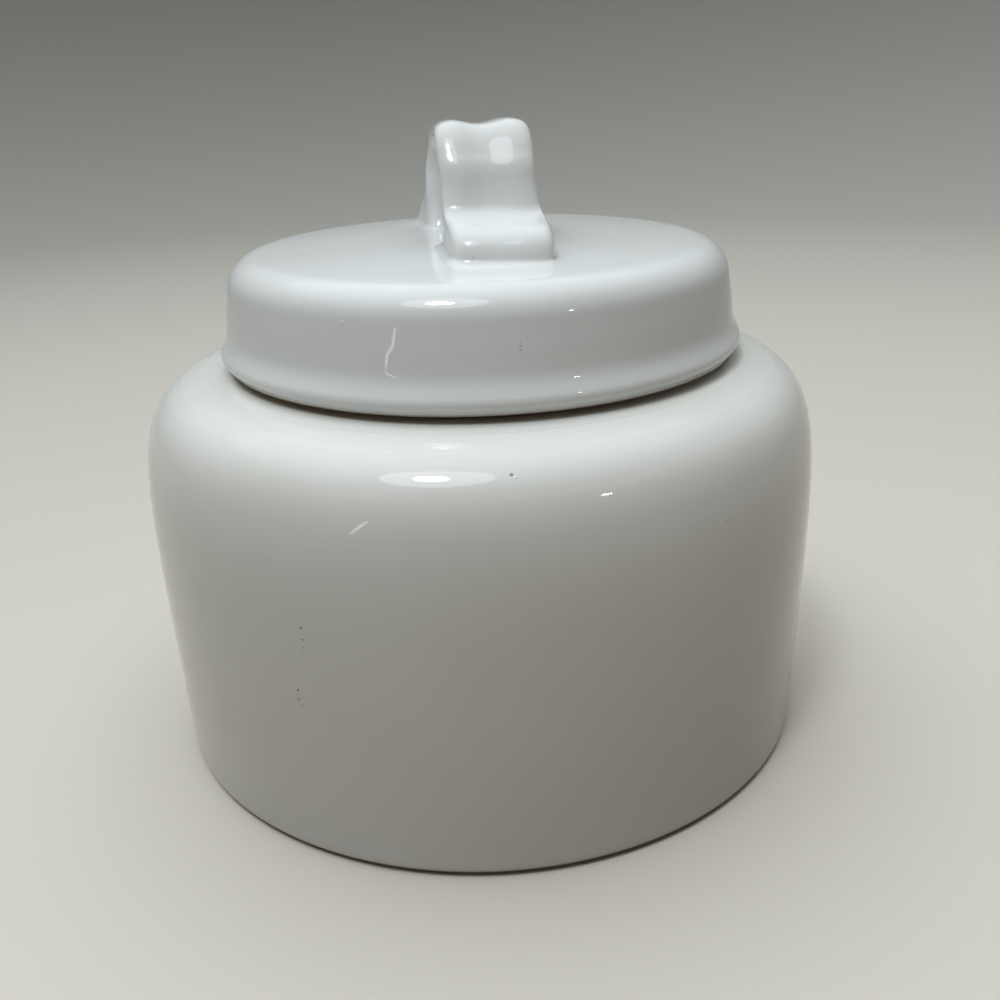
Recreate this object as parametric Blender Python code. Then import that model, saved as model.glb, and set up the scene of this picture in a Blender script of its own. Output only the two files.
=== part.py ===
"""Lidded ceramic canister, 180 mm across: a slip-cast jar, a cap lid that sits over the jar's
collar, and a strap handle luted to the lid. Metres, +Z up, origin under the foot's centre."""

import math

import bmesh
import bpy
from mathutils import Vector
from mathutils.geometry import interpolate_bezier

# Facets
ROUND_STEPS = 60          # flats round every turned piece
SHOULDER_STEPS = 15       # points on the rounded shoulder
SHOULDER_EASE = 1.7       # spreads those points evenly along the curve
CURVE_STEPS = 5           # points on each small fillet or sweep

# Casting and clearances
JAR_WALL = 0.0050         # wall of the jar, all the way up to the collar's rim
LID_WALL = 0.0050         # wall of the lid
SEAT_GAP = 0.0003         # gap left between pieces that touch

# Jar
BELLY_RADIUS = 0.0900         # widest part of the body
BELLY_HEIGHT = 0.0593
BASE_INSET = 0.0011           # how far the side draws in from the belly to the bottom corner
BASE_CORNER = 0.0016          # rounding of the bottom corner
FOOT_RING_INSET = 0.0039      # the dry foot ring stands in from the side by this
FOOT_RING_HEIGHT = 0.0010
FOOT_RING_WIDTH = 0.0065
FOOT_EDGE = 0.0005            # softened edges of the foot ring
UNDERSIDE_RISE = 0.0018       # underside inside the ring, above the table
FLOOR_THICKNESS = 0.0052
FLOOR_CORNER = 0.0090         # fillet between the floor and the inside wall
SHOULDER_HEIGHT = 0.1027      # flat shoulder that the lid's rim sits on
SHOULDER_SQUARENESS = 3.65    # 2 is an ellipse, more is a squarer shoulder
COLLAR_RISE = 0.0140          # collar's rim above the shoulder
COLLAR_FILLET = 0.0030        # sweep from the shoulder up into the collar
COLLAR_PLAY = 0.0024          # room all round between the collar and the lid's inside

# Lid
LID_SHIFT_X = 0.0012          # the lid sits a little off centre, within that play
LID_SHIFT_Y = 0.0014
RIM_RADIUS = 0.0687           # outside of the rolled bead at the lid's rim
BEAD_RADIUS = 0.0035
BEAD_TURN = math.radians(8)   # how far the bead rolls past its widest point
FLARE_HEIGHT = 0.0046         # sweep from the bead up to the waist
WAIST_INSET = 0.0019          # waist inside the bead
SIDE_HEIGHT = 0.0184          # straight side, from the waist up to the top edge
SIDE_TAPER = 0.0024           # how far the side leans in over that height
EDGE_ROUND = 0.0062           # rounding of the top edge
DOME_RISE = 0.0032            # crown of the lid inside its rounded edge

# Handle, with heights above the top of the dome
HANDLE_TURN = math.radians(7)     # the strap runs front to back, turned by this
HANDLE_SHIFT = 0.0006             # and stands a little to the right of the lid's middle
STRAP_WIDTH = 0.0228
STRAP_THICKNESS = 0.0056
STRAP_EDGE_WIDTH = 0.0048         # rounding of the strap's long edges, across the strap
STRAP_EDGE_FLAT = 0.0004          # what the rounding leaves of the thickness
STRAP_DISH = 0.0011               # depth of the channel along the outer face
DISH_SHARE = 0.72                 # part of the width that the channel takes
FOOT_REACH = 0.0388               # front of each foot, from the handle's middle
FOOT_HEIGHT = 0.0050
FOOT_BROW = 0.0024                # rounding of the foot's upper edge
FOOT_FLARE = 0.0003               # the feet are wider than the strap, on each side
FOOT_SKEW = 0.0040                # the front foot is trimmed out of square by this, each way
INNER_TOE = 0.0012                # the legs thicken inwards at the lid by this
LEG_SWEEP = 0.0060                # height of the sweep from the foot up into the leg
LEG_RISE = 0.0057                 # height of the leg between the sweep and the top corner
LEG_SPREAD = 0.0016               # how much further out the legs are at the sweep
ARCH_REACH = 0.0225               # outer face of the legs at the top corners
ARCH_CORNER = 0.0095              # rounding of the top corners
ARCH_CROWN = 0.0010               # rise of the top between its corners
WIDTH_STEPS = 12                  # strips across the strap
ROUND_PULL = 0.55                 # curve pull that comes close to a circle
SWEEP_PULL = 0.70                 # curve pull of the fuller sweep at the feet

# Sizes that follow
BASE_RADIUS = BELLY_RADIUS - BASE_INSET
FLOOR_HEIGHT = UNDERSIDE_RISE + FLOOR_THICKNESS
COLLAR_RADIUS = RIM_RADIUS - WAIST_INSET - SIDE_TAPER - LID_WALL - COLLAR_PLAY
STRAP_EDGE_DEPTH = (STRAP_THICKNESS - STRAP_EDGE_FLAT) / 2
LEG_FOOT_HEIGHT = FOOT_HEIGHT + LEG_SWEEP
CORNER_HEIGHT = LEG_FOOT_HEIGHT + LEG_RISE
HANDLE_HEIGHT = CORNER_HEIGHT + ARCH_CORNER + ARCH_CROWN

# Glaze
JAR_GLAZE = (0.80, 0.79, 0.75)
LID_GLAZE = (0.78, 0.80, 0.80)
GLAZE_ROUGHNESS = 0.12


def clear_scene():
    """Remove every object that the file starts with."""
    for old in list(bpy.data.objects):
        bpy.data.objects.remove(old, do_unlink=True)


def glaze(name, colour):
    """A glossy, non-metallic glaze."""
    material = bpy.data.materials.new(name)
    material.use_nodes = True
    shader = material.node_tree.nodes["Principled BSDF"]
    shader.inputs["Base Color"].default_value = (*colour, 1.0)
    shader.inputs["Roughness"].default_value = GLAZE_ROUGHNESS
    shader.inputs["Metallic"].default_value = 0.0
    return material


def arc(centre_r, centre_z, radius, start, end, steps):
    """Points of an arc in the (r, z) plane, angles in degrees."""
    points = []
    for i in range(steps + 1):
        angle = math.radians(start + (end - start) * i / steps)
        points.append((centre_r + radius * math.cos(angle), centre_z + radius * math.sin(angle)))
    return points


def sweep_curve(start, start_pull, end_pull, end, steps):
    """A smooth Bezier run between two points of a profile."""
    knots = [Vector((p[0], p[1], 0.0)) for p in (start, start_pull, end_pull, end)]
    return [(p.x, p.y) for p in interpolate_bezier(*knots, steps + 1)]


def offset_inwards(points, distance):
    """A copy of an upward run of profile points, moved in by the wall's thickness."""
    moved = []
    for i, (r, z) in enumerate(points):
        before = points[max(i - 1, 0)]
        after = points[min(i + 1, len(points) - 1)]
        run = Vector((after[0] - before[0], after[1] - before[1])).normalized()
        moved.append((r - run.y * distance, z + run.x * distance))
    return moved


def without_repeats(points):
    """Drop points that fall on the one before."""
    kept = [points[0]]
    for point in points[1:]:
        if math.dist(point, kept[-1]) > 0.00001:
            kept.append(point)
    return kept


def turned_piece(name, profile, material):
    """Spin a profile, which starts and ends on the axis, into one closed solid."""
    bm = bmesh.new()
    verts = [bm.verts.new((r, 0.0, z)) for r, z in without_repeats(profile)]
    edges = [bm.edges.new(pair) for pair in zip(verts, verts[1:])]
    bmesh.ops.spin(bm, geom=verts + edges, cent=(0, 0, 0), axis=(0, 0, 1), angle=2 * math.pi,
                   steps=ROUND_STEPS, use_merge=True)
    bmesh.ops.remove_doubles(bm, verts=bm.verts, dist=0.000005)
    bmesh.ops.recalc_face_normals(bm, faces=bm.faces)
    return as_object(name, bm, material)


def as_object(name, bm, material):
    """Write a bmesh into a named, smooth-shaded object."""
    mesh = bpy.data.meshes.new(name)
    bm.to_mesh(mesh)
    bm.free()
    mesh.shade_smooth()
    mesh.set_sharp_from_angle(angle=math.radians(40))
    mesh.materials.append(material)
    piece = bpy.data.objects.new(name, mesh)
    bpy.context.scene.collection.objects.link(piece)
    return piece


def jar_side():
    """The body's nearly upright side, from its bottom corner to the belly."""
    start = FOOT_RING_HEIGHT + BASE_CORNER
    points = []
    for i in range(CURVE_STEPS + 1):
        share = i / CURVE_STEPS
        ease = math.sin(share * math.pi / 2)
        points.append((BASE_RADIUS + (BELLY_RADIUS - BASE_RADIUS) * ease,
                       start + (BELLY_HEIGHT - start) * share))
    return points


def jar_shoulder():
    """A quarter of a superellipse, from the belly in to the foot of the collar."""
    collar_foot = COLLAR_RADIUS + COLLAR_FILLET
    points = []
    for i in range(1, SHOULDER_STEPS + 1):
        share = i / SHOULDER_STEPS
        eased = share ** SHOULDER_EASE / (share ** SHOULDER_EASE + (1 - share) ** SHOULDER_EASE)
        angle = eased * math.pi / 2
        inset = 1 - max(math.cos(angle), 0.0) ** (2 / SHOULDER_SQUARENESS)
        climb = math.sin(angle) ** (2 / SHOULDER_SQUARENESS)
        point = (BELLY_RADIUS - (BELLY_RADIUS - COLLAR_RADIUS) * inset,
                 BELLY_HEIGHT + (SHOULDER_HEIGHT - BELLY_HEIGHT) * climb)
        if point[0] > collar_foot + COLLAR_FILLET:
            points.append(point)
    return points


def jar_profile():
    """The jar's wall: underside, foot ring, body, shoulder, collar, and back down the inside."""
    ring_out = BASE_RADIUS - FOOT_RING_INSET
    ring_in = ring_out - FOOT_RING_WIDTH
    underside = [(0.0, UNDERSIDE_RISE), (ring_in - UNDERSIDE_RISE, UNDERSIDE_RISE)]
    ring = [(ring_in, FOOT_EDGE), (ring_in + FOOT_EDGE, 0.0), (ring_out - FOOT_EDGE, 0.0),
            (ring_out, FOOT_EDGE), (ring_out, FOOT_RING_HEIGHT)]
    corner = arc(BASE_RADIUS - BASE_CORNER, FOOT_RING_HEIGHT + BASE_CORNER, BASE_CORNER, -90, 0, 3)
    collar_base = arc(COLLAR_RADIUS + COLLAR_FILLET, SHOULDER_HEIGHT + COLLAR_FILLET,
                      COLLAR_FILLET, -90, -180, 3)
    outer = jar_side() + jar_shoulder() + collar_base
    rim_z = SHOULDER_HEIGHT + COLLAR_RISE - JAR_WALL / 2
    rim = arc(COLLAR_RADIUS - JAR_WALL / 2, rim_z, JAR_WALL / 2, 0, 180, 6)
    inner = offset_inwards(outer, JAR_WALL)
    fillet_top = FLOOR_HEIGHT + FLOOR_CORNER
    inner = [point for point in inner if point[1] > fillet_top]
    wall_r = BASE_RADIUS - JAR_WALL
    floor = arc(wall_r - FLOOR_CORNER, fillet_top, FLOOR_CORNER, 0, -90, CURVE_STEPS)
    return underside + ring + corner + outer + rim + inner[::-1] + floor + [(0.0, FLOOR_HEIGHT)]


def lid_heights():
    """Heights of the lid's rim, bead centre, waist, top edge and dome top."""
    rim = SHOULDER_HEIGHT + SEAT_GAP
    bead = rim + BEAD_RADIUS
    waist = bead + BEAD_RADIUS * math.sin(BEAD_TURN) + FLARE_HEIGHT
    edge = waist + SIDE_HEIGHT
    return rim, bead, waist, edge, edge + DOME_RISE


def dome_height(radius, drop=0.0):
    """Height of the lid's crown at a distance from its middle; drop gives the underside."""
    top = lid_heights()[4]
    reach = RIM_RADIUS - WAIST_INSET - SIDE_TAPER - EDGE_ROUND
    return top - drop - DOME_RISE * (radius / reach) ** 2


def lid_profile():
    """The lid's shell: dome, rounded edge, side, flare, bead, then the inside."""
    rim, bead, waist, edge, _ = lid_heights()
    waist_r = RIM_RADIUS - WAIST_INSET
    edge_r = waist_r - SIDE_TAPER
    lean = math.degrees(math.atan2(SIDE_TAPER, SIDE_HEIGHT))
    crown_r = edge_r - EDGE_ROUND
    dome = [(crown_r * i / 5, dome_height(crown_r * i / 5)) for i in range(5)]
    top_edge = arc(crown_r, edge - EDGE_ROUND, EDGE_ROUND, 90 - 6, lean, 6)
    bead_c = RIM_RADIUS - BEAD_RADIUS
    roll = arc(bead_c, bead, BEAD_RADIUS, math.degrees(BEAD_TURN), -180, 12)
    start = (waist_r, waist)
    flare = sweep_curve(start, (start[0] + 0.0002, start[1] - FLARE_HEIGHT / 2),
                        (roll[0][0], roll[0][1] + FLARE_HEIGHT / 3), roll[0], 4)
    inside_r = edge_r - LID_WALL
    inner_round = EDGE_ROUND - LID_WALL / 2
    under_z = dome_height(crown_r, LID_WALL)
    inner_edge = arc(inside_r - inner_round, under_z - inner_round, inner_round, 0, 84, 4)
    under = [(crown_r * i / 4, dome_height(crown_r * i / 4, LID_WALL)) for i in (3, 2, 1, 0)]
    skirt = [(waist_r - LID_WALL, waist)]
    return dome + top_edge + flare + roll[1:] + skirt + inner_edge + under


def strap_outline():
    """Half of the strap seen from the side: matching outer and inner (reach, height), foot to top."""
    thick = STRAP_THICKNESS
    leg_low = Vector((ARCH_REACH + LEG_SPREAD, LEG_FOOT_HEIGHT))
    leg_top = Vector((ARCH_REACH, CORNER_HEIGHT))
    lean = (leg_top - leg_low).normalized()
    top_reach = ARCH_REACH - ARCH_CORNER
    top_height = HANDLE_HEIGHT - ARCH_CROWN / 2
    inwards = Vector((thick, 0.0))

    brow = arc(FOOT_REACH - FOOT_BROW, FOOT_HEIGHT - FOOT_BROW, FOOT_BROW, 0, 80, 3)
    instep = FOOT_REACH - FOOT_BROW - leg_low.x
    sweep = sweep_curve(brow[-1], (brow[-1][0] - SWEEP_PULL * instep, brow[-1][1]),
                        leg_low - lean * SWEEP_PULL * LEG_SWEEP, leg_low, CURVE_STEPS)
    corner = sweep_curve(leg_top, leg_top + lean * ROUND_PULL * ARCH_CORNER,
                         (top_reach + ROUND_PULL * ARCH_CORNER, top_height), (top_reach, top_height),
                         CURVE_STEPS)
    outer = [(FOOT_REACH, 0.0)] + brow + sweep[1:] + corner + [(0.0, HANDLE_HEIGHT)]

    inner_corner = ROUND_PULL * (ARCH_CORNER - thick)
    inner_low = leg_low - inwards
    inner = sweep_curve((inner_low.x - INNER_TOE, 0.0), (inner_low.x, LEG_FOOT_HEIGHT / 3),
                        inner_low - lean * LEG_FOOT_HEIGHT / 3, inner_low,
                        len(brow) + len(sweep) - 1)
    inner += sweep_curve(leg_top - inwards, leg_top - inwards + lean * inner_corner,
                         (top_reach + inner_corner, top_height - thick),
                         (top_reach, top_height - thick), CURVE_STEPS)
    inner.append((0.0, HANDLE_HEIGHT - thick))
    return outer, inner


def strap_section(across):
    """Depth of the rounded edge and of the channel, at a share of the half width."""
    edge_distance = STRAP_WIDTH / 2 * (1 - abs(across))
    rounding = 0.0
    if edge_distance < STRAP_EDGE_WIDTH:
        along = 1 - edge_distance / STRAP_EDGE_WIDTH
        rounding = STRAP_EDGE_DEPTH * (1 - math.sqrt(1 - along ** 2))
    dish = 0.0
    if abs(across) < DISH_SHARE:
        dish = STRAP_DISH * math.cos(math.pi / 2 * across / DISH_SHARE) ** 2
    return rounding, dish


def handle_point(across, reach, height):
    """Place a point of the strap: flared, skewed and turned, over the lid's middle."""
    low = min(max(1.0 - height / LEG_FOOT_HEIGHT, 0.0), 1.0)
    wide = (STRAP_WIDTH / 2 + FOOT_FLARE * low) * across
    if reach > 0:
        reach += FOOT_SKEW * across * low
    x = HANDLE_SHIFT + wide * math.cos(HANDLE_TURN) + reach * math.sin(HANDLE_TURN)
    y = wide * math.sin(HANDLE_TURN) - reach * math.cos(HANDLE_TURN)
    if height <= 0.0:
        return x, y, dome_height(math.hypot(x, y)) + SEAT_GAP
    return x, y, dome_height(0.0) + height


def lid_handle(material):
    """Loft the strap from one rounded edge to the other, with its dished outer face."""
    outer, inner = strap_outline()
    outer = outer + [(-s, z) for s, z in outer[-2::-1]]
    inner = inner + [(-s, z) for s, z in inner[-2::-1]]
    loop = [(s, z, True) for s, z in outer] + [(s, z, False) for s, z in inner[::-1]]
    count = len(loop)
    bm = bmesh.new()
    rings = []
    for k in range(WIDTH_STEPS + 1):
        across = -math.cos(math.pi * k / WIDTH_STEPS)
        rounding, dish = strap_section(across)
        ring = []
        for i, (s, z, is_outer) in enumerate(loop):
            before, after = loop[i - 1], loop[(i + 1) % count]
            run = Vector((after[0] - before[0], after[1] - before[1])).normalized()
            depth = rounding + (dish * min(z / LEG_FOOT_HEIGHT, 1.0) if is_outer else 0.0)
            height = z + run.x * depth if z > 0 else 0.0
            ring.append(bm.verts.new(handle_point(across, s - run.y * depth, height)))
        rings.append(ring)
    for left, right in zip(rings, rings[1:]):
        for i in range(count):
            j = (i + 1) % count
            bm.faces.new((left[i], left[j], right[j], right[i]))
    for ring in (rings[0], rings[-1]):
        for i in range(len(outer) - 1):
            bm.faces.new((ring[i], ring[i + 1], ring[count - 2 - i], ring[count - 1 - i]))
    bmesh.ops.recalc_face_normals(bm, faces=bm.faces)
    return as_object("lid_handle", bm, material)


def lid_axis(pieces):
    """An empty on the line that the lid lifts along, which carries the lid's pieces."""
    axis = bpy.data.objects.new("lid_axis", None)
    bpy.context.scene.collection.objects.link(axis)
    axis.location = (LID_SHIFT_X, LID_SHIFT_Y, 0.0)
    for piece in pieces:
        piece.parent = axis
    return axis


def main():
    """Build the jar, and the lid with its handle over the jar's collar."""
    clear_scene()
    turned_piece("jar_body", jar_profile(), glaze("jar_glaze", JAR_GLAZE))
    lid_material = glaze("lid_glaze", LID_GLAZE)
    lid = turned_piece("lid", lid_profile(), lid_material)
    lid_axis([lid, lid_handle(lid_material)])


main()
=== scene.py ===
# %% [markdown]
# # A glazed ceramic canister
# This notebook dresses a plain model of a kitchen canister as fired and glazed ware. The real
# object is three castings: a round jar, a cap lid that sits over the jar's collar, and a strap
# handle that is stuck to the lid with wet clay and fired on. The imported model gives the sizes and
# the moving bodies. Each step below says what a piece or a finish is on the real object, and then
# makes it.

import math

import bmesh
import bpy
from mathutils import Matrix, Quaternion, Vector, noise
from mathutils.geometry import interpolate_bezier


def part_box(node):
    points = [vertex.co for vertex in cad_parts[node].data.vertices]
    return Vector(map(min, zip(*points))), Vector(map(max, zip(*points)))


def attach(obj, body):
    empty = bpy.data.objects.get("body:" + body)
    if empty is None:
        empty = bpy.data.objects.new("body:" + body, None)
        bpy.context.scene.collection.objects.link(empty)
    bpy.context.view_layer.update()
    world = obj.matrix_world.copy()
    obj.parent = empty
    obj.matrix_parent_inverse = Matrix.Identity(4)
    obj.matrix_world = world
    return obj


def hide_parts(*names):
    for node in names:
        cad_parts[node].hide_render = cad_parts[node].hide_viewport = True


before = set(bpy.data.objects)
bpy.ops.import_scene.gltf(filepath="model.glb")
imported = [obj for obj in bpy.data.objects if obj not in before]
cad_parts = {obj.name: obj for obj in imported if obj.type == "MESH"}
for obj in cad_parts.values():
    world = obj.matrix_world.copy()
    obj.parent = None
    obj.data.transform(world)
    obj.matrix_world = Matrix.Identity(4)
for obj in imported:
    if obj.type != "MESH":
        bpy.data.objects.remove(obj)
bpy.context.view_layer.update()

# %% [markdown]
# ## Seats and centres
# The lid doesn't stand exactly in the middle of the jar, because a hand put it there. The packed
# model knows where it is, so the lid's axis and the heights that matter are read from its boxes
# and not typed again. All sizes below are in millimetres, and one factor turns them into metres.

# %% Read the seats from the model's boxes
MM = 0.001
lid_low, lid_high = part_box("lid")
handle_low, handle_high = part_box("lid_handle")
lid_axis = Vector(((lid_low.x + lid_high.x) / 2, (lid_low.y + lid_high.y) / 2, 0.0))
lid_rim = lid_low.z / MM
crown = lid_high.z / MM
print("lid's axis at", [round(c / MM, 2) for c in lid_axis], "mm, rim", round(lid_rim, 2),
      "mm, crown", round(crown, 2), "mm")

# %% [markdown]
# ## The camera
# The photograph was taken from close by with a wide lens, a little above the lid and tilted down.
# A close camera makes the lid's front edge look lower and the base narrower, so the distance
# matters as much as the direction. The numbers come from fitting circles of the jar to its
# outline. Three directions, ahead, to the side and to the top, make the camera's matrix.

# %% Set up the camera
IMAGE_SIZE = 1000
SENSOR_WIDTH = 36.0
FOCAL_PIXELS = 1017.2
CAMERA_DISTANCE = 0.2715
CAMERA_HEIGHT = 0.1697
PITCH = 0.3927
YAW = 0.0174
ROLL = -0.0359

ahead = Vector((math.sin(YAW) * math.cos(PITCH), math.cos(YAW) * math.cos(PITCH),
                -math.sin(PITCH)))
level = Vector((math.cos(YAW), -math.sin(YAW), 0.0))
upright = level.cross(ahead)
side = math.cos(ROLL) * level + math.sin(ROLL) * upright
top = math.cos(ROLL) * upright - math.sin(ROLL) * level

lens = bpy.data.cameras.new("photo_camera")
lens.sensor_width = SENSOR_WIDTH
lens.lens = SENSOR_WIDTH * FOCAL_PIXELS / IMAGE_SIZE
lens.clip_start = 0.01
camera = bpy.data.objects.new("photo_camera", lens)
camera.matrix_world = Matrix(((side.x, top.x, -ahead.x, 0.0),
                              (side.y, top.y, -ahead.y, -CAMERA_DISTANCE),
                              (side.z, top.z, -ahead.z, CAMERA_HEIGHT),
                              (0.0, 0.0, 0.0, 1.0)))
bpy.context.scene.collection.objects.link(camera)
bpy.context.scene.camera = camera
print("lens", round(lens.lens, 1), "mm, camera", CAMERA_HEIGHT, "m above the floor")

# %% [markdown]
# ## Helpers for outlines
# Turned ware starts as half an outline, as on a potter's rib. Here the outline is a chain of edges
# in the plane y = 0. A knot is (radius, height) or (radius, height, rounding): the bevel operator
# rounds those knots, as a wet sponge does. Long edges are cut up so that the glaze's slow waves
# have points to move. A long soft curve could be a bevel too, but it would end in a sudden start
# that gloss shows as a line, so it is drawn as a curve with handles.

# %% Outline helpers
CORNER_SEGMENTS = 8


def sweep(start, start_pull, end_pull, end, count):
    """Knots along a smooth curve between two points, pulled as an editor's handles pull it."""
    knots = [Vector((*p, 0.0)) for p in (start, start_pull, end_pull, end)]
    return [(p.x, p.y) for p in interpolate_bezier(*knots, count + 1)]


def draw_outline(knots, longest):
    """A bmesh that holds one chain of edges, with its marked knots rounded."""
    bm = bmesh.new()
    verts = [bm.verts.new((k[0] * MM, 0.0, k[1] * MM)) for k in knots]
    for pair in zip(verts, verts[1:]):
        bm.edges.new(pair)
    for vert, knot in zip(verts, knots):
        if len(knot) == 3:
            bmesh.ops.bevel(bm, geom=[vert], offset=knot[2] * MM, offset_type="OFFSET",
                            segments=CORNER_SEGMENTS, profile=0.5, affect="VERTICES", material=-1)
    for edge in list(bm.edges):
        cuts = int(edge.calc_length() / (longest * MM))
        if cuts:
            bmesh.ops.subdivide_edges(bm, edges=[edge], cuts=cuts)
    return bm


# %% [markdown]
# ## Helpers for turned pieces
# Spin carries the outline once round the axis and merges the last ring with the first. Both ends
# of the outline lie on the axis, so the poles close when doubles are merged, and the normals are
# then made to point out. Spin numbers its points in no fixed order, so they are sorted by place.
# Slip casting and thick glaze leave slow waves of a tenth of a millimetre or so. They only ever go
# inwards here, so the piece stays inside its measured size.

# %% Turning helpers
TURNS = 192
MERGE_GAP = 0.001


def in_order(sequence, key):
    """Sort a mesh's points or faces, so that each run gives them the same numbers."""
    places = {item: place for place, item in enumerate(sorted(sequence, key=key))}
    sequence.sort(key=places.get)
    sequence.index_update()


def turn(bm, steps=TURNS):
    """Spin the outline once round the upright axis into a closed shell."""
    bmesh.ops.spin(bm, geom=bm.verts[:] + bm.edges[:], cent=(0, 0, 0), axis=(0, 0, 1),
                   angle=2 * math.pi, steps=steps, use_merge=True)
    bmesh.ops.remove_doubles(bm, verts=bm.verts, dist=MERGE_GAP * MM)
    bmesh.ops.recalc_face_normals(bm, faces=bm.faces)
    in_order(bm.verts, lambda v: [round(c, 8) for c in (v.co.z, v.co.x, v.co.y)])
    in_order(bm.faces, lambda f: sorted(v.index for v in f.verts))


def undulate(bm, depth, length, seed):
    """Sink the surface by a slow noise: depth and length of the waves in millimetres."""
    bm.normal_update()
    shift = Vector((seed, -seed, seed / 2))
    moves = []
    for vert in bm.verts:
        wave = noise.noise(vert.co / (length * MM) + shift)
        moves.append(vert.normal * (-depth * MM * (0.5 + 0.5 * wave)))
    for vert, move in zip(bm.verts, moves):
        vert.co += move


# %% Hand a piece over to the model
def make_piece(name, bm, body, node, place=Vector()):
    """Turn a bmesh into a smooth piece that rides on a body and stands for a node."""
    bmesh.ops.translate(bm, verts=bm.verts, vec=place)
    mesh = bpy.data.meshes.new(name)
    bm.to_mesh(mesh)
    bm.free()
    mesh.shade_smooth()
    piece = bpy.data.objects.new(name, mesh)
    bpy.context.scene.collection.objects.link(piece)
    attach(piece, body)
    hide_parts(node)
    print(name, len(mesh.polygons), "faces,", [round(d / MM, 1) for d in piece.dimensions], "mm")
    return piece


# %% [markdown]
# ## The jar
# The jar is cast in a plaster mould that drinks water from the slip, so its wall is the same 5 mm
# all over. It has a dry foot ring, a nearly upright side, a wide shoulder that is squarer than a
# quarter circle, and a collar that the lid hides. The shoulder is one smooth curve, because a
# glossy glaze shows every kink. The other corners are rounded knots.

# %% Draw the jar's outline
BELLY = 90.0
BELLY_HEIGHT = 59.3
SHOULDER = 102.45
WALL = 5.0
UNDER_SHOULDER = 97.7
COLLAR = 57.0
COLLAR_TOP = 116.7
MOUTH = COLLAR - WALL
FOOT_OUT = 84.9
FOOT_IN = 78.7
FOOT_STEP = 1.0
RECESS = 1.8
JAR_FLOOR = 7.0

foot = [(0.0, RECESS), (76.7, RECESS, 1.0), (FOOT_IN, 0.0, 0.6), (FOOT_OUT, 0.0, 0.6),
        (FOOT_OUT, FOOT_STEP, 0.3), (88.85, FOOT_STEP, 1.5)]
side_out = sweep((88.9, 4.0), (89.3, 21.0), (BELLY, 40.0), (BELLY, BELLY_HEIGHT), 24)
shoulder_out = sweep((BELLY, BELLY_HEIGHT), (BELLY, 95.9), (86.0, SHOULDER + 0.1),
                     (60.5, SHOULDER - 0.5), 48)
collar = [(COLLAR, SHOULDER - 0.6, 3.0), (COLLAR, COLLAR_TOP, 2.4), (MOUTH, COLLAR_TOP, 2.4),
          (MOUTH, UNDER_SHOULDER, 4.0)]
shoulder_in = sweep((55.5, UNDER_SHOULDER), (80.0, UNDER_SHOULDER), (BELLY - WALL, 91.5),
                    (BELLY - WALL, BELLY_HEIGHT), 32)
bottom = [(84.0, JAR_FLOOR, 9.0), (0.0, JAR_FLOOR)]
jar_knots = foot + side_out + shoulder_out[1:] + collar + shoulder_in + bottom

# %% Cast the jar
jar_mesh = draw_outline(jar_knots, longest=1.6)
print("jar's outline:", len(jar_mesh.edges), "edges")
turn(jar_mesh)
undulate(jar_mesh, depth=0.16, length=46.0, seed=3.1)
jar = make_piece("glazed_jar", jar_mesh, "jar", "jar_body")

# %% [markdown]
# ## The lid
# The lid is a shallow cap with a softly crowned top. Its side leans in a little, then sweeps out
# into a rolled bead. The bead stands on the jar's shoulder with a narrow dry face, and tucks under
# above it, which leaves a thin dark crack. The inside follows the outside at the wall's thickness.
# The lid is turned round its own axis and then moved to where it really sits.

# %% Draw the lid's outline
CROWN_SINK = 0.8
CROWN_FALL = 2.0
CROWN_RADIUS = 58.2
INNER_KNOTS = 18

bead_height = lid_rim + 3.5
waist_height = bead_height + 6.5
lip_height = lid_rim + 0.6
centre_height = crown - CROWN_SINK

lid_top = sweep((0.0, centre_height), (19.4, centre_height), (40.0, crown - 1.3),
                (CROWN_RADIUS, centre_height - CROWN_FALL), 24)
lid_side = [(63.9, crown - 3.5, 6.0), (65.3, 122.0), (66.0, 117.8)]
flare = sweep((66.5, waist_height + 0.4), (66.7, waist_height - 2.4), (67.7, bead_height + 2.9),
              (68.5, bead_height + 1.2), 14)
bead = sweep((68.5, bead_height + 1.2), (69.1, bead_height - 0.4), (68.3, lip_height + 1.6),
             (66.8, lip_height + 0.45), 12)
standing_face = [(66.9, lip_height, 0.12), (63.6, lip_height, 0.3), (63.3, lid_rim, 0.3),
                 (61.7, lid_rim, 0.8)]
lid_inside = [(61.8, waist_height, 3.0), (58.9, crown - 8.8, 4.0)]
lid_inside += [(radius, height - WALL) for radius, height in lid_top[INNER_KNOTS::-1]]
lid_knots = lid_top[:-1] + lid_side + flare + bead[1:] + standing_face + lid_inside

# %% Cast the lid
lid_mesh = draw_outline(lid_knots, longest=1.4)
print("lid's outline:", len(lid_mesh.edges), "edges")
turn(lid_mesh)
undulate(lid_mesh, depth=0.12, length=38.0, seed=8.4)
lid = make_piece("glazed_lid", lid_mesh, "lid", "lid", lid_axis)

# %% [markdown]
# ## The strap handle
# The handle is a strap of clay, thumbed hollow along its outer face and bent into an arch. Its
# ends are pressed down into blocks and luted to the lid with slip, and the glaze then fills the
# corner with a soft fillet. It could be one profile carried along a curve, but the foot, the leg
# and the arch each have their own section. So it is built as a row of rings, each one a rounded
# rectangle across the strap, from the front foot over the arch to the back foot. Two lines, drawn
# from the side, say where the rings' outer and inner faces are: the outer one runs up the foot,
# back over its brow, up the leg and over the haunch.

# %% Draw the strap's outer line from the side
ARCH_TOP = handle_high.z / MM - crown + 1.1
FOOT_FRONT = 42.8
BROW = (35.6, 6.5)
LEG_LOW = (26.3, 8.9)
LEG_HIGH = (24.1, 15.6)
SLOPE = (21.6, 20.0)
HAUNCH = (13.0, ARCH_TOP - 0.5)

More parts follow.
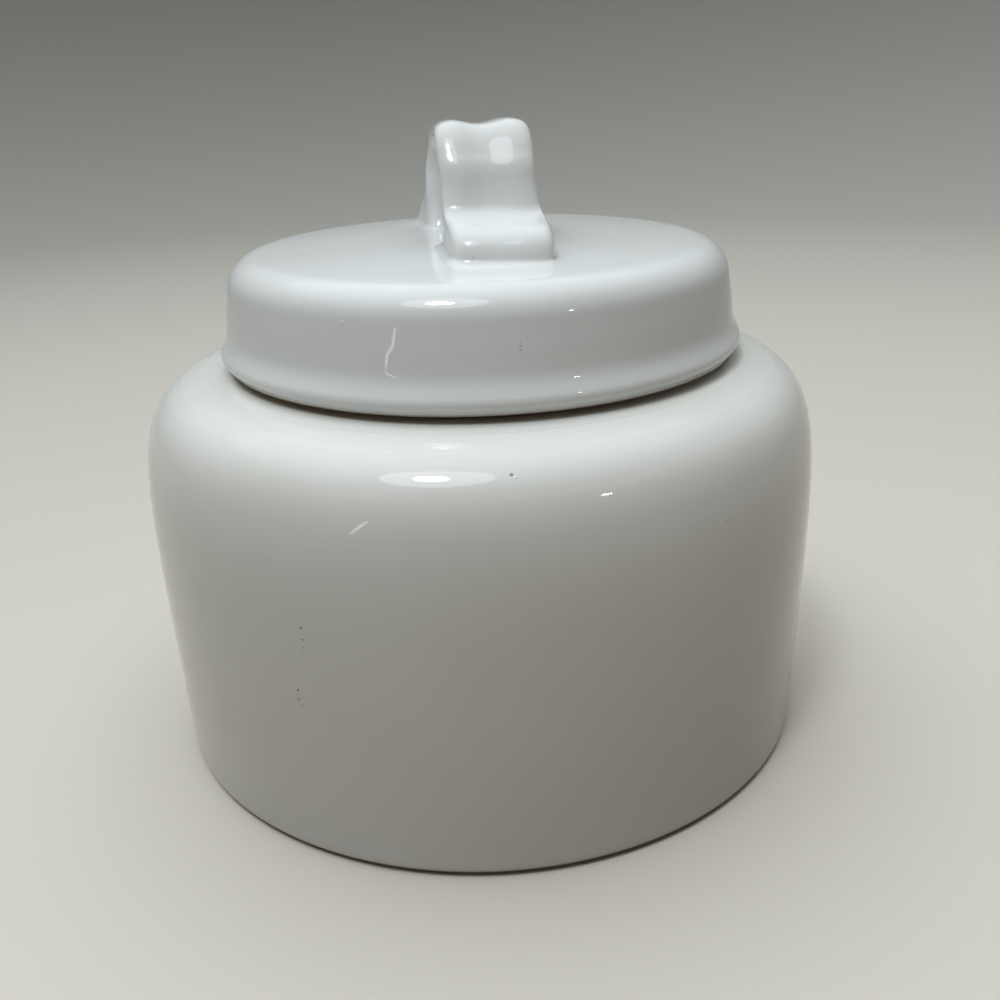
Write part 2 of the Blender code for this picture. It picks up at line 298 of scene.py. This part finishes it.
outer_line = sweep((FOOT_FRONT, 0.9), (FOOT_FRONT, 3.9), (40.2, 5.7), BROW, 12)
outer_line += sweep(BROW, (32.2, 7.0), (27.9, 6.7), LEG_LOW, 10)[1:]
outer_line += sweep(LEG_LOW, (25.5, 10.2), (24.7, 12.9), LEG_HIGH, 7)[1:]
outer_line += sweep(LEG_HIGH, (23.6, 17.4), (22.7, 18.9), SLOPE, 6)[1:]
outer_line += sweep(SLOPE, (19.6, 23.2), (16.8, ARCH_TOP - 0.95), HAUNCH, 7)[1:]
outer_line += sweep(HAUNCH, (9.0, ARCH_TOP - 0.15), (5.0, ARCH_TOP), (0.0, ARCH_TOP), 5)[1:]
print("strap:", len(outer_line), "stations to the crown of the arch")

# %% Draw its inner line, with as many stations
THICK = 5.6
FOOT_BACK = 14.8
INNER_LEG = (17.1, 16.4)
inner_top = ARCH_TOP - THICK
inner_haunch = (12.0, HAUNCH[1] - THICK)

inner_arch = sweep(INNER_LEG, (16.5, 19.6), (15.2, HAUNCH[1] - THICK - 0.3), inner_haunch, 10)
inner_arch += sweep(inner_haunch, (8.0, inner_top - 0.1), (4.0, inner_top),
                    (0.0, inner_top), 5)[1:]
leg_count = len(outer_line) - len(inner_arch)
inner_line = sweep((FOOT_BACK, 0.9), (17.3, 3.6), (17.9, 11.9), INNER_LEG, leg_count)[:-1]
inner_line += inner_arch
print("inside:", len(inner_line), "stations")

# %% [markdown]
# ## How the strap changes with height
# A ring near the lid belongs to the foot, which is full and square, and a ring near the top
# belongs to the arch. Between them is the hollow corner above the foot. Each of the three fades in
# softly with the height above the lid, because a glossy glaze shows any sudden start as a kink.

# %% Blend values
FOOT_TOP = 14.0
FOOT_FADE = 1.4
ARCH_START = 13.0
ARCH_FADE = 11.0
CORNER_HEIGHT = 9.0
CORNER_HALF = 3.4


def blends(height):
    """How much a ring belongs to the foot, to the corner above it, and to the arch's top."""
    low = min(max(1.0 - height / FOOT_TOP, 0.0), 1.0) ** FOOT_FADE
    corner = max(1.0 - ((height - CORNER_HEIGHT) / CORNER_HALF) ** 2, 0.0) ** 2
    high = min(max((height - ARCH_START) / ARCH_FADE, 0.0), 1.0)
    high *= high * (3 - 2 * high)
    return low, corner, high


for sample in (2.0, CORNER_HEIGHT, 20.0):
    print("at", sample, "mm: foot, corner, arch", [round(share, 2) for share in blends(sample)])

# %% [markdown]
# ## The section of the strap
# Every ring starts as a circle from create_circle. Across the strap its points keep their even
# spacing, and the other way they are pushed out to a flat face with round edges: a high power of
# the distance from the middle stays flat for long and drops only at the edge. A thumb has pressed
# the outer face hollow, nearer to the left edge, which it leaves as a crisp ridge.

# %% Section helper
EDGE_POWER = 5.6
FOOT_POWER = 6.0
RIDGE_POWER = 1.6
HOLLOW = 1.15
HOLLOW_MIDDLE = -0.03
HOLLOW_LEFT = 0.60
HOLLOW_RIGHT = 0.72
LEFT_SLOPE = 1.6
RIGHT_SLOPE = 2.0


def section_depth(u, v, half, low, high):
    """Where a circle's point (u, v) lies through the strap, from -1 inside to 1 outside."""
    power = EDGE_POWER + FOOT_POWER * low
    if u < 0:
        power -= RIDGE_POWER * (1 - low) * (1 - high)
    depth = math.copysign(max(1 - abs(u) ** power, 0.0) ** (1 / (2 + 4 * low)), v)
    if depth > 0:
        left = u < HOLLOW_MIDDLE
        off_centre = (u - HOLLOW_MIDDLE) / (HOLLOW_LEFT if left else HOLLOW_RIGHT)
        hollow = math.cos(math.pi / 2 * min(abs(off_centre), 1.0))
        hollow **= LEFT_SLOPE if left else RIGHT_SLOPE
        depth -= HOLLOW * (1 - low) * hollow * depth / half
    return depth


# %% [markdown]
# ## Rings across the strap
# The real handle isn't quite true, and its charm lies there. The front foot is cut out of square,
# bulges and sags to the right, and the corner above it runs a little downhill. The back foot is
# flared to the left. The arch narrows on its left towards the back, and its top leans back. The
# whole strap is turned on the lid by a few degrees. Near the lid a ring follows the fall of the
# crown, so that the foot stands on it all round.

# %% Ring helper
RING_POINTS = 96
STRAP_HALF = 11.4
FOOT_WIDER = 0.3
HANDLE_TURN = math.radians(7)
HANDLE_SHIFT = 0.6
FOOT_SKEW = 1.3
SKEW_RISE = 2.2
FOOT_BULGE = 1.0
FOOT_SINK = 0.5
SINK_SPREAD = 1.6
CORNER_SINK = 1.0
FRONT_FLARE = 0.8
FLARE_RISE = 1.6
BACK_FLARE = 2.2
TOP_TAPER = 0.9
TAPER_START = 8.0
TAPER_LENGTH = 16.0
TOP_SINK = 1.2
TILT_START = 12.0
TILT_LENGTH = 24.0
FALL_POWER = 2.2


def strap_ring(bm, outer, inner, way, spread=0.0):
    """One ring between two points of the side view; way is 1 in front and -1 behind."""
    made = bmesh.ops.create_circle(bm, segments=RING_POINTS, radius=1.0)["verts"]
    low, corner, high = blends(outer[1])
    middle = Vector((outer[0] + inner[0], outer[1] + inner[1])) / 2
    across = Vector((outer[0] - inner[0], outer[1] - inner[1])) / 2
    across *= 1 + spread / across.length
    for vert in made:
        u = vert.co.x
        depth = section_depth(u, vert.co.y, across.length, low, high)
        reach = middle.x + across.x * depth
        height = middle.y + across.y * depth
        wide = (STRAP_HALF + FOOT_WIDER * low + spread) * u
        if way > 0:
            skew = FOOT_SKEW * u * min(SKEW_RISE * low, 1.0) - FOOT_BULGE * u * u * low
            reach += skew * max(depth, 0.0)
            height -= FOOT_SINK * u * low ** 8 * max(1 - spread / SINK_SPREAD, 0.0)
            height -= CORNER_SINK * u * corner * max(depth, 0.0)
            wide += FRONT_FLARE * max(u, 0.0) * math.sin(math.pi * low ** FLARE_RISE)
        elif u < 0:
            wide += BACK_FLARE * u * low * low * (reach - inner[0]) / (FOOT_FRONT - inner[0])
        if u < 0:
            taper = min(max((TAPER_START - way * reach) / TAPER_LENGTH, -0.5), 1.0)
            wide -= TOP_TAPER * u * high * taper
        height -= TOP_SINK * high * (TILT_START - way * reach) / TILT_LENGTH
        x = HANDLE_SHIFT + wide * math.cos(HANDLE_TURN) + way * reach * math.sin(HANDLE_TURN)
        y = wide * math.sin(HANDLE_TURN) - way * reach * math.cos(HANDLE_TURN)
        fall = CROWN_SINK + CROWN_FALL * (math.hypot(x, y) / CROWN_RADIUS) ** FALL_POWER
        vert.co = Vector((x, y, crown + height - fall * low)) * MM
    return [e for e in bm.edges if e.verts[0] in made and e.verts[1] in made]


# %% [markdown]
# ## Luting and bridging
# Slip squeezed out under the foot and the glaze over it make a fillet that fades into the lid. It
# is seven more rings under the foot: the lower a ring is, the wider it spreads, and the lowest lie
# inside the lid's wall. Bridge loops then joins each ring to the next, and the two open ends are
# closed with a face.

# %% Build the strap
LUTING = ((4.6, -0.7), (3.2, -0.32), (2.2, -0.12), (1.4, 0.03), (0.8, 0.18), (0.4, 0.36),
          (0.15, 0.6))

stations = [((FOOT_FRONT, height), (FOOT_BACK, height), spread) for spread, height in LUTING]
stations += [(outer, inner, 0.0) for outer, inner in zip(outer_line, inner_line)]
strap = bmesh.new()
rings = [strap_ring(strap, outer, inner, 1, spread) for outer, inner, spread in stations]
rings += [strap_ring(strap, outer, inner, -1, spread) for outer, inner, spread in stations[-2::-1]]
for ring, following in zip(rings, rings[1:]):
    bmesh.ops.bridge_loops(strap, edges=ring + following)
for ring in (rings[0], rings[-1]):
    bmesh.ops.contextual_create(strap, geom=ring)
bmesh.ops.recalc_face_normals(strap, faces=strap.faces)
handle = make_piece("glazed_handle", strap, "lid", "lid_handle", lid_axis)

# %% [markdown]
# ## Helpers for finishes
# A finish is a small network of nodes. One helper adds a node and wires it in a single call, so
# that each network below reads from the surface's position to its colour, gloss and relief. Relief
# is counted in millimetres and becomes a bump at the end.

# %% Node helpers
def add(tree, kind, inputs=None, **settings):
    """Add a node, set its settings, and give each input a value or another node's output."""
    made = tree.nodes.new(kind)
    for name, value in settings.items():
        setattr(made, name, value)
    for name, value in (inputs or {}).items():
        socket = made.inputs[name]
        if isinstance(value, bpy.types.NodeSocket):
            tree.links.new(value, socket)
        else:
            socket.default_value = value
    return made


def math_node(tree, operation, first, second=0.0):
    """A Math node's output."""
    return add(tree, "ShaderNodeMath", {0: first, 1: second}, operation=operation).outputs[0]


def times(tree, first, second):
    """The product of two values."""
    return math_node(tree, "MULTIPLY", first, second)


def step_between(tree, value, low, high):
    """0 below low, 1 above high, and smooth between them."""
    made = add(tree, "ShaderNodeMapRange", {"Value": value, "From Min": low, "From Max": high},
               interpolation_type="SMOOTHSTEP")
    return made.outputs[0]


def band(tree, value, low, high, soft):
    """1 between low and high, with soft edges."""
    rise = step_between(tree, value, low - soft, low + soft)
    return times(tree, rise, step_between(tree, value, high + soft, high - soft))


def noise_at(tree, place, scale, detail):
    """A noise from 0 to 1, with so many waves to the metre."""
    made = add(tree, "ShaderNodeTexNoise", {"Vector": place, "Scale": scale, "Detail": detail})
    return made.outputs["Fac"]


def raised(tree, relief, mask, height):
    """A relief with a mask's shape added to it, so many millimetres high."""
    return math_node(tree, "ADD", relief, times(tree, mask, height))


def mix_colours(tree, share, first, second):
    """Mix two colours."""
    made = add(tree, "ShaderNodeMix", data_type="RGBA")
    for index, value in ((0, share), (6, first), (7, second)):
        socket = made.inputs[index]
        if isinstance(value, bpy.types.NodeSocket):
            tree.links.new(value, socket)
        elif isinstance(value, tuple):
            socket.default_value = (*value, 1.0)
        else:
            socket.default_value = value
    return made.outputs[2]


# %% [markdown]
# ## Specks, pips and single flaws
# Iron in the clay makes a few dark specks, and gas leaves small raised pips, which come in flocks.
# A speck or pip is the middle of a Voronoi cell, and the cell's random colour picks the few cells
# that have one. The flaws that the real piece has at a known place are soft balls round a point.
# Their dark colour is a speck's, except in the pit, where it is painted shade; their pale colour is
# a painted highlight on a pip or on the pit's lip.

# %% Specks and flaws
CELLS = 210.0
DOT_SIZE = (0.075, 0.03)
SPECK_RARITY = (0.985, 0.99)
PIP_RARITY = 0.985
FLOCK_BOOST = 0.16
FLAW_CORE = 0.35
# Dark colour of the placed specks, and the painted shade in the pit.
SPECK_AND_PIT_SHADE = (0.10, 0.085, 0.07)
# Painted highlight: pale colour on the pit's lip and on two pips.
PAINTED_GLINT = (0.90, 0.91, 0.90)


def scatter(tree, place):
    """The masks of the dark specks and of the pips."""
    cells = add(tree, "ShaderNodeTexVoronoi", {"Vector": place, "Scale": CELLS})
    pick = add(tree, "ShaderNodeSeparateColor", {0: cells.outputs["Color"]})
    dot = step_between(tree, cells.outputs["Distance"], *DOT_SIZE)
    speck = times(tree, step_between(tree, pick.outputs[0], *SPECK_RARITY), dot)
    flock = step_between(tree, noise_at(tree, place, 14.0, 0.0), 0.5, 0.75)
    chance = math_node(tree, "ADD", pick.outputs[1], times(tree, flock, FLOCK_BOOST))
    pip = math_node(tree, "GREATER_THAN", chance, PIP_RARITY)
    return speck, times(tree, pip, dot)


def place_flaws(tree, place, flaws, colour, relief):
    """Add flaws at their places: (x, y, z, size, tone, relief), dark where tone is above 0."""
    for x, y, z, size, tone, height in flaws:
        gap = add(tree, "ShaderNodeVectorMath", {0: place, 1: (x * MM, y * MM, z * MM)},
                  operation="DISTANCE").outputs["Value"]
        spot = step_between(tree, gap, size * MM, size * FLAW_CORE * MM)
        # A tone above 0 mixes in a dark speck or the pit's painted shade, and a tone below 0 a
        # painted pale highlight.
        if tone:
            colour = mix_colours(tree, times(tree, spot, abs(tone)), colour,
                                 SPECK_AND_PIT_SHADE if tone > 0 else PAINTED_GLINT)
        relief = raised(tree, relief, spot, height)
    return colour, relief


# %% [markdown]
# ## Marks that follow the turning
# A sponge held to the turning jar leaves faint ripples, which are functions of the radius and the
# height alone. So are the places where no glaze may be: the foot ring and the faces where jar and
# lid stand on each other are wiped dry before firing, or they would fuse.

# %% Rings, ripples and dry zones
DRY_CLAY = (0.64, 0.59, 0.51)
CLAY_SHADE = 0.8
DRY_EDGE = 0.1


def turned_place(tree, place):
    """A point's distance from the upright axis, and its height."""
    flat = add(tree, "ShaderNodeVectorMath", {0: place, 1: (1.0, 1.0, 0.0)}, operation="MULTIPLY")
    radius = add(tree, "ShaderNodeVectorMath", {0: flat.outputs[0]}, operation="LENGTH")
    height = add(tree, "ShaderNodeSeparateXYZ", {0: place})
    return radius.outputs["Value"], height.outputs["Z"]


def add_ripples(tree, radius, height, ripples, relief):
    """Raise rings given as (radius, half width, relief, lowest height)."""
    for ring, half, ridge, lowest in ripples:
        off = math_node(tree, "ABSOLUTE", math_node(tree, "SUBTRACT", radius, ring * MM))
        ripple = times(tree, step_between(tree, off, half * MM, 0.0),
                       math_node(tree, "GREATER_THAN", height, lowest * MM))
        relief = raised(tree, relief, ripple, ridge)
    return relief


def dry_mask(tree, radius, height, zones):
    """1 in zones given as (inner radius, outer radius, low, high)."""
    bare = 0.0
    for inner, outer, low, high in zones:
        zone = times(tree, band(tree, radius, inner * MM, outer * MM, DRY_EDGE * MM),
                     band(tree, height, low * MM, high * MM, DRY_EDGE * MM))
        bare = math_node(tree, "MAXIMUM", bare, zone)
    return bare


# %% [markdown]
# ## The glaze
# A white tin-like glaze is a sheet of glass over pale clay. One glossy shader with the refraction
# of glass over a pale colour gives that without a second layer. It isn't one flat colour: it pools
# and thins in slow clouds, and it is a touch less glossy where it is thin. Seen close, its gloss
# has the faint dimpling of orange peel over slower waves.

# %% Glaze finish
SPECK_COLOUR = (0.30, 0.25, 0.19)
SPECK_STRENGTH = 0.45
PIP_RELIEF = 0.05
PEEL_RELIEF = 0.012
WAVE_RELIEF = 0.05
RING_RELIEF = 0.03
GRAIN_RELIEF = 0.03
GLOSS_THICK = 0.03
GLOSS_THIN = 0.06
DRY_ROUGHNESS = 0.8
GLASS_IOR = 1.52


def glaze(name, thick, thin, flaws, dry, ripples=()):
    """A glossy white glaze with its flaws, dry zones and ripples, on ware round the axis."""
    material = bpy.data.materials.new(name)
    material.use_nodes = True
    tree = material.node_tree
    shader = tree.nodes["Principled BSDF"]
    place = add(tree, "ShaderNodeTexCoord").outputs["Object"]

    clouds = noise_at(tree, place, 22.0, 3.0)
    colour = mix_colours(tree, step_between(tree, clouds, 0.3, 0.7), thick, thin)
    speck, pip = scatter(tree, place)
    colour = mix_colours(tree, times(tree, speck, SPECK_STRENGTH), colour, SPECK_COLOUR)
    colour, relief = place_flaws(tree, place, flaws, colour, times(tree, pip, PIP_RELIEF))

    relief = raised(tree, relief, noise_at(tree, place, 240.0, 1.0), PEEL_RELIEF)
    relief = raised(tree, relief, noise_at(tree, place, 55.0, 1.0), WAVE_RELIEF)
    radius, height = turned_place(tree, place)
    ring_place = add(tree, "ShaderNodeCombineXYZ", {"X": radius, "Z": height}).outputs[0]
    relief = raised(tree, relief, noise_at(tree, ring_place, 190.0, 1.0), RING_RELIEF)
    relief = add_ripples(tree, radius, height, ripples, relief)

    bare = dry_mask(tree, radius, height, dry)
    grain = noise_at(tree, place, 900.0, 3.0)
    clay = mix_colours(tree, grain, DRY_CLAY, tuple(CLAY_SHADE * c for c in DRY_CLAY))
    colour = mix_colours(tree, bare, colour, clay)
    relief = raised(tree, relief, times(tree, bare, grain), GRAIN_RELIEF)
    gloss = add(tree, "ShaderNodeMapRange", {"Value": clouds, "To Min": GLOSS_THICK,
                                             "To Max": GLOSS_THIN}).outputs[0]
    gloss = add(tree, "ShaderNodeMix", {0: bare, 2: gloss, 3: DRY_ROUGHNESS}).outputs[0]

    bump = add(tree, "ShaderNodeBump", {"Height": relief, "Distance": MM, "Strength": 1.0})
    tree.links.new(colour, shader.inputs["Base Color"])
    tree.links.new(gloss, shader.inputs["Roughness"])
    tree.links.new(bump.outputs[0], shader.inputs["Normal"])
    shader.inputs["IOR"].default_value = GLASS_IOR
    return material


# %% [markdown]
# ## Glaze the three pieces
# The photograph shows one pit with a bright lip on the shoulder, two short rows of specks on the
# left, and a few pips. They are listed here in millimetres. The pit's dark middle is painted shade,
# and its pale lip and two pale pips on the lid are painted highlights. The jar's glaze is a touch
# creamier than the lid's, as painted warm bounce light. The handle was dipped with the lid, so it
# shares the lid's glaze.

# %% Where the flaws are, and the two glazes
jar_flaws = [
    # The first two rows are the pit. Its dark middle is painted shade over a real dent, and its
    # pale lip is a painted highlight over a real rim.
    (5.8, -82.7, 96.6, 0.55, 0.45, -0.22), (6.6, -82.9, 96.3, 0.4, -0.9, 0.10),
    (-40.0, -80.5, 63.1, 0.45, 0.8, 0.0), (-39.9, -80.5, 60.2, 0.4, 0.75, 0.0),
    (-40.1, -80.4, 58.1, 0.3, 0.6, 0.0), (-42.6, -79.1, 46.8, 0.45, 0.7, 0.0),
    (-42.7, -79.0, 44.4, 0.4, 0.7, 0.0), (-42.1, -79.3, 43.0, 0.3, 0.6, 0.0),
    (-46.7, -76.4, 77.3, 0.4, 0.5, 0.0), (52.1, -72.5, 80.4, 0.6, 0.0, 0.10),
    (53.5, -72.3, 68.3, 0.5, 0.0, 0.10),
]
lid_flaws = [
    # The two pale lid flaws paint a pip's highlight as pale colour over the pip's real bump.
    (-28.3, -56.1, 122.8, 0.8, -0.5, 0.12), (-8.6, -24.1, 132.4, 1.0, -0.3, 0.10),
    (-10.7, -10.3, 132.9, 0.6, 0.3, 0.0), (-14.9, -40.7, 131.2, 0.6, 0.0, 0.08),
    (-22.8, -22.8, 132.1, 0.6, 0.0, 0.08), (9.1, -63.6, 118.9, 0.45, 0.3, 0.0),
    (9.1, -63.8, 118.1, 0.5, 0.35, 0.0), (9.0, -64.0, 117.4, 0.4, 0.3, 0.0),
]
jar_ripples = [(71.0, 0.45, 0.045, 95.0), (78.2, 0.7, 0.04, 95.0), (74.2, 0.6, 0.02, 95.0)]
jar_dry = [(78.4, 85.2, -1.0, 0.35), (56.0, 64.6, 101.2, 103.2)]
lid_dry = [(61.0, 67.0, lid_rim - 1.0, lid_rim + 1.0)]

# The jar's creamier glaze colour is painted warm bounce light.
jar_glaze = glaze("jar_white_glaze", thick=(0.76, 0.755, 0.725), thin=(0.735, 0.73, 0.695),
                  flaws=jar_flaws, dry=jar_dry, ripples=jar_ripples)
lid_glaze = glaze("lid_white_glaze", thick=(0.765, 0.78, 0.78), thin=(0.745, 0.755, 0.75),
                  flaws=lid_flaws, dry=lid_dry)
for piece, finish in ((jar, jar_glaze), (lid, lid_glaze), (handle, lid_glaze)):
    piece.data.materials.append(finish)
print("flaws placed:", len(jar_flaws), "on the jar,", len(lid_flaws), "on the lid")

# %% [markdown]
# ## The floor
# The floor is a plain pale sheet that curves up all round, like a studio sweep, so that every view
# has the same quiet ground. It is turned like the jar. The camera and the gloss see it pale, a
# little greyer far away. The light that it throws back onto the ware is less and warmer, so that
# the lower body isn't washed out.

# %% Floor
SWEEP_KNOTS = [(0.0, 0.0), (1500.0, 0.0, 420.0), (1600.0, 1300.0)]
SWEEP_TURNS = 96
PAPER_NEAR = (0.60, 0.56, 0.50)
PAPER_FAR = (0.50, 0.49, 0.455)
PAPER_BOUNCE = (0.12, 0.085, 0.05)
NEAR, FAR = 0.15, 1.5

ground = draw_outline(SWEEP_KNOTS, longest=200.0)
turn(ground, SWEEP_TURNS)
floor_mesh = bpy.data.meshes.new("studio_floor")
ground.to_mesh(floor_mesh)
ground.free()
floor_mesh.shade_smooth()
floor = bpy.data.objects.new("studio_floor", floor_mesh)
bpy.context.scene.collection.objects.link(floor)
print("floor:", [round(d, 1) for d in floor.dimensions], "m")

# %% Floor paper
floor_paper = bpy.data.materials.new("floor_paper")
floor_paper.use_nodes = True
paper_tree = floor_paper.node_tree
paper = paper_tree.nodes["Principled BSDF"]
ray = add(paper_tree, "ShaderNodeLightPath").outputs
seen = math_node(paper_tree, "MAXIMUM", ray["Is Camera Ray"], ray["Is Glossy Ray"])
seen = math_node(paper_tree, "MAXIMUM", seen, ray["Is Transmission Ray"])
paper_place = add(paper_tree, "ShaderNodeTexCoord").outputs["Object"]
distance = add(paper_tree, "ShaderNodeVectorMath", {0: paper_place}, operation="LENGTH")
far_away = step_between(paper_tree, distance.outputs["Value"], NEAR, FAR)
pale = mix_colours(paper_tree, far_away, PAPER_NEAR, PAPER_FAR)
paper_tree.links.new(mix_colours(paper_tree, seen, PAPER_BOUNCE, pale),
                     paper.inputs["Base Color"])
paper.inputs["Roughness"].default_value = 0.9
floor_mesh.materials.append(floor_paper)

# %% [markdown]
# ## The lamps
# The highlights on the glaze say where the lamps were: one soft lamp high in front on the left,
# with a bright core in a wide shade, a small window low on the right and a narrow one low on the
# left. The same are set up here. A lamp's power is worked out from how bright its surface should
# look, so that its size can be changed without changing its glint.

# %% Lamps
AIM = Vector((0.0, -0.03, 0.09))
COOL = (0.94, 1.0, 1.02)
WHITE = (1.0, 1.0, 1.0)


def lamp(name, azimuth, elevation, distance, width, height, brightness, colour=WHITE, lean=0.0):
    """A flat soft lamp; azimuth from the viewer's side to the right, brightness as a surface's."""
    turn_by, tilt = math.radians(azimuth), math.radians(elevation)
    away = Vector((math.sin(turn_by) * math.cos(tilt), -math.cos(turn_by) * math.cos(tilt),
                   math.sin(tilt)))
    data = bpy.data.lights.new(name, "AREA")
    data.shape = "ELLIPSE"
    data.size = width
    data.size_y = height
    data.color = colour
    data.energy = brightness * math.pi * math.pi * width * height / 4
    made = bpy.data.objects.new(name, data)
    made.location = AIM + away * distance
    facing = away.to_track_quat("Z", "Y") @ Quaternion((0, 0, 1), math.radians(lean))
    made.rotation_euler = facing.to_euler()
    made.visible_camera = False
    bpy.context.scene.collection.objects.link(made)
    print(name, round(data.energy, 2), "W")


lamp("ceiling_lamp_core", azimuth=-29, elevation=63.5, distance=1.25, width=0.20, height=0.20,
     brightness=29.0, colour=COOL)
lamp("ceiling_lamp_shade", azimuth=-26, elevation=63.5, distance=1.30, width=0.66, height=0.66,
     brightness=2.7, colour=COOL)
lamp("right_window", azimuth=40, elevation=21, distance=1.2, width=0.065, height=0.032,
     brightness=42.0, lean=-14)
lamp("left_window", azimuth=-38.5, elevation=3, distance=1.2, width=0.03, height=0.24,
     brightness=4.0, lean=-26)

# %% [markdown]
# ## The sky
# The rest of the light is a soft glow high above, a little behind and to the left, which stands
# for a pale ceiling. It lights the lid and the shoulder more than the sides, as in the photograph.
# The gloss sees it weaker, or it would lie over the lid's top as a grey veil.

# %% Sky
GLOW_HEIGHT = math.radians(74)
GLOW_SIDE = math.radians(150)
GLOW_EDGE = 0.5
GLOW_STRENGTH = 2.2
GLOW_UNMIRRORED = 0.65
FAINTEST = 0.035

sky = bpy.data.worlds.new("studio_sky")
bpy.context.scene.world = sky
sky.use_nodes = True
sky_tree = sky.node_tree
backdrop = sky_tree.nodes["Background"]
backdrop.inputs["Color"].default_value = (*COOL, 1.0)
brightest = (-math.cos(GLOW_HEIGHT) * math.sin(GLOW_SIDE),
             -math.cos(GLOW_HEIGHT) * math.cos(GLOW_SIDE), math.sin(GLOW_HEIGHT))
direction = add(sky_tree, "ShaderNodeTexCoord").outputs["Generated"]
nearness = add(sky_tree, "ShaderNodeVectorMath", {0: direction, 1: brightest},
               operation="DOT_PRODUCT").outputs["Value"]
mirrored = add(sky_tree, "ShaderNodeLightPath").outputs["Is Glossy Ray"]
share = math_node(sky_tree, "SUBTRACT", 1.0, times(sky_tree, mirrored, GLOW_UNMIRRORED))
glow = times(sky_tree, share, step_between(sky_tree, nearness, GLOW_EDGE, 1.0))
strength = math_node(sky_tree, "ADD", times(sky_tree, glow, GLOW_STRENGTH), FAINTEST)
sky_tree.links.new(strength, backdrop.inputs["Strength"])
bpy.context.scene.view_settings.view_transform = "Standard"
print("sky: brightest towards", [round(c, 2) for c in brightest])
